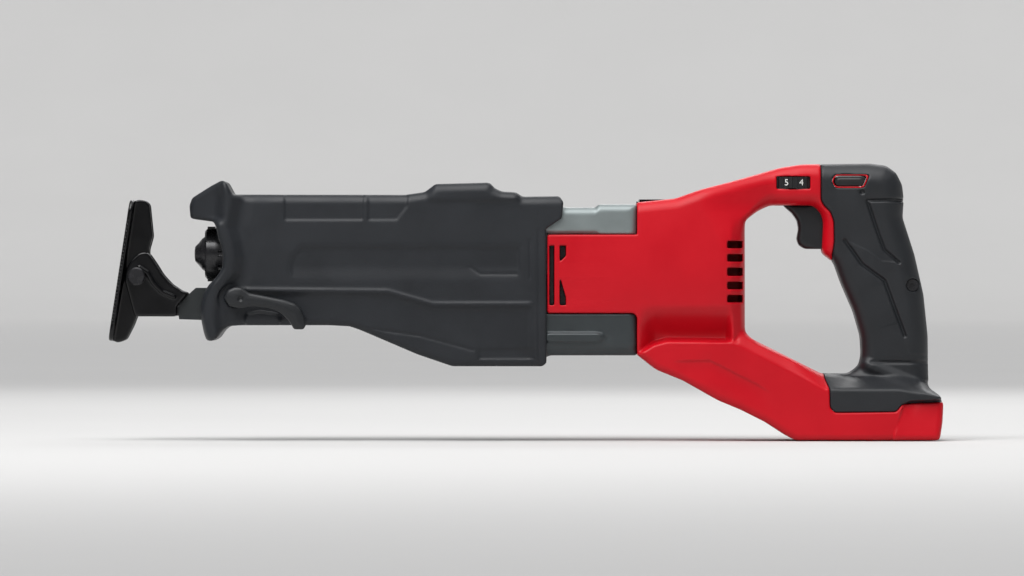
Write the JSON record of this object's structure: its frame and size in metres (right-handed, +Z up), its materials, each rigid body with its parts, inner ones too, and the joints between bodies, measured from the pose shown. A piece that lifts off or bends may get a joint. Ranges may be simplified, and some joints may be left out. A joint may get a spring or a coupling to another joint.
{
  "type": "reciprocating saw",
  "caption": "Cordless reciprocating saw with D handle, rubber front boot, pivoting shoe and keyless blade clamp, shown without battery and blade.",
  "frame": {"origin": "on the spindle axis at the mouth of the blade clamp, spindle at mid stroke", "axes": "-X towards the blade end, +X towards the handle, +Z up, -Y the tool's left side"},
  "size_m": [0.4795, 0.0906, 0.1592],
  "materials": {
    "housing_shell": "satin moulded ABS",
    "soft_grip": "fine textured matt",
    "boot_rubber": "satin moulded",
    "case_light": "painted die casting",
    "case_dark": "painted die casting",
    "black_steel": "gloss black coat",
    "bright_steel": "ground",
    "dark_steel": "phosphated",
    "tool_steel": "machined",
    "bronze": "sintered",
    "seal_rubber": "matt",
    "zinc": "cast",
    "dark_plastic": "fine spark texture",
    "black_plastic": "matt",
    "grey_plastic": "matt",
    "steel_sheets": "laminated",
    "copper": "enamelled wire",
    "circuit_board": "solder mask",
    "contact_metal": "plated",
    "clear_lens": "clear",
    "ball_steel": "polished"
  },
  "bodies": {
    "tool_body": {"left_housing": "housing_shell", "right_housing": "housing_shell", "left_grip": "soft_grip", "right_grip": "soft_grip", "upper_gearcase": "case_light", "lower_gearcase": "case_dark", "front_boot": "boot_rubber", "shoe_guide": "zinc", "front_bushing": "bronze", "rear_bushing": "bronze", "spindle_seal": "seal_rubber", "wobble_front_bearing": "tool_steel", "wobble_rear_bearing": "tool_steel", "motor_front_bearing": "tool_steel", "motor_rear_bearing": "tool_steel", "stator_core": "steel_sheets", "windings": "copper", "motor_board": "circuit_board", "motor_end_plate": "black_plastic", "gearcase_screws": "dark_steel", "housing_screws": "dark_steel", "grip_screw": "dark_steel", "trigger_switch": "black_plastic", "dial_base": "grey_plastic", "control_module": "black_plastic", "terminal_block": "black_plastic", "battery_terminals": "contact_metal", "battery_rails": "bright_steel", "led_lens": "clear_lens", "led_board": "circuit_board", "hook_bracket": "black_steel", "hook_pin": "bright_steel", "hook_screw": "dark_steel"},
    "spindle_body": {"spindle": "tool_steel", "blade_clamp": "dark_steel", "clamp_pin": "tool_steel", "clamp_spring": "bright_steel"},
    "collar_body": {"clamp_collar": "dark_steel"},
    "wobble_shaft_body": {"wobble_shaft": "tool_steel", "wobble_hub": "tool_steel", "wobble_balls": "ball_steel", "drive_gear": "tool_steel", "counterweight": "dark_steel"},
    "wobble_ring_body": {"wobble_ring": "tool_steel"},
    "rotor_body": {"rotor_shaft": "tool_steel", "rotor_core": "steel_sheets", "pinion": "tool_steel", "cooling_fan": "black_plastic"},
    "post_body": {"shoe_post": "black_steel", "shoe_pins": "dark_steel"},
    "shoe_body": {"shoe_plate": "black_steel"},
    "lever_body": {"shoe_lever": "dark_plastic", "lever_cam": "tool_steel"},
    "trigger_body": {"trigger": "dark_plastic"},
    "lock_body": {"lock_button": "black_plastic"},
    "dial_body": {"speed_dial": "black_plastic"},
    "hook_body": {"hang_hook": "black_steel"}
  },
  "joints": [
    {"name": "spindle_stroke", "type": "slide", "parent": "tool_body", "child": "spindle_body", "axis": [1, 0, 0], "range_m": [-0.016, 0.016]},
    {"name": "ring_rock", "type": "hinge", "parent": "tool_body", "child": "wobble_ring_body", "pos_m": [0.158, 0, -0.037], "axis": [0, 1, 0], "range_deg": [-25.4, 25.4]},
    {"name": "wobble_spin", "type": "hinge", "parent": "tool_body", "child": "wobble_shaft_body", "pos_m": [0.16, 0, -0.037], "axis": [1, 0, 0], "continuous": true},
    {"name": "rotor_spin", "type": "hinge", "parent": "tool_body", "child": "rotor_body", "pos_m": [0.24, 0, -0.0146], "axis": [1, 0, 0], "continuous": true},
    {"name": "collar_turn", "type": "hinge", "parent": "spindle_body", "child": "collar_body", "pos_m": [0.015, 0, 0], "axis": [1, 0, 0], "range_deg": [0, 60], "stiffness_Nm_per_rad": 0.08, "springref_deg": -11.46},
    {"name": "shoe_slide", "type": "slide", "parent": "tool_body", "child": "post_body", "axis": [-1, 0, 0], "range_m": [0, 0.03]},
    {"name": "shoe_tilt", "type": "hinge", "parent": "post_body", "child": "shoe_body", "pos_m": [-0.033, 0, -0.0129], "axis": [0, 1, 0], "range_deg": [-20, 20]},
    {"name": "shoe_lock_turn", "type": "hinge", "parent": "tool_body", "child": "lever_body", "pos_m": [0.0234, -0.037, -0.0257], "axis": [0, 1, 0], "range_deg": [0, 70]},
    {"name": "trigger_pull", "type": "slide", "parent": "tool_body", "child": "trigger_body", "axis": [1, 0, 0], "range_m": [0, 0.007], "stiffness_N_per_m": 900, "springref_m": -0.004},
    {"name": "lock_push", "type": "slide", "parent": "tool_body", "child": "lock_body", "axis": [0, 1, 0], "range_m": [-0.004, 0]},
    {"name": "dial_turn", "type": "hinge", "parent": "tool_body", "child": "dial_body", "pos_m": [0.345, 0, 0.041], "axis": [0, 0, 1], "range_deg": [-200, 60]},
    {"name": "hook_swing", "type": "hinge", "parent": "tool_body", "child": "hook_body", "pos_m": [0.265, 0.0418, 0.0275], "axis": [1, 0, 0], "range_deg": [0, 100]}
  ],
  "couplings": [
    {"joint": "ring_rock", "follows": "spindle_stroke", "rad_per_m": 27.687},
    {"joint": "rotor_spin", "follows": "wobble_spin", "ratio": -3.6667}
  ]
}
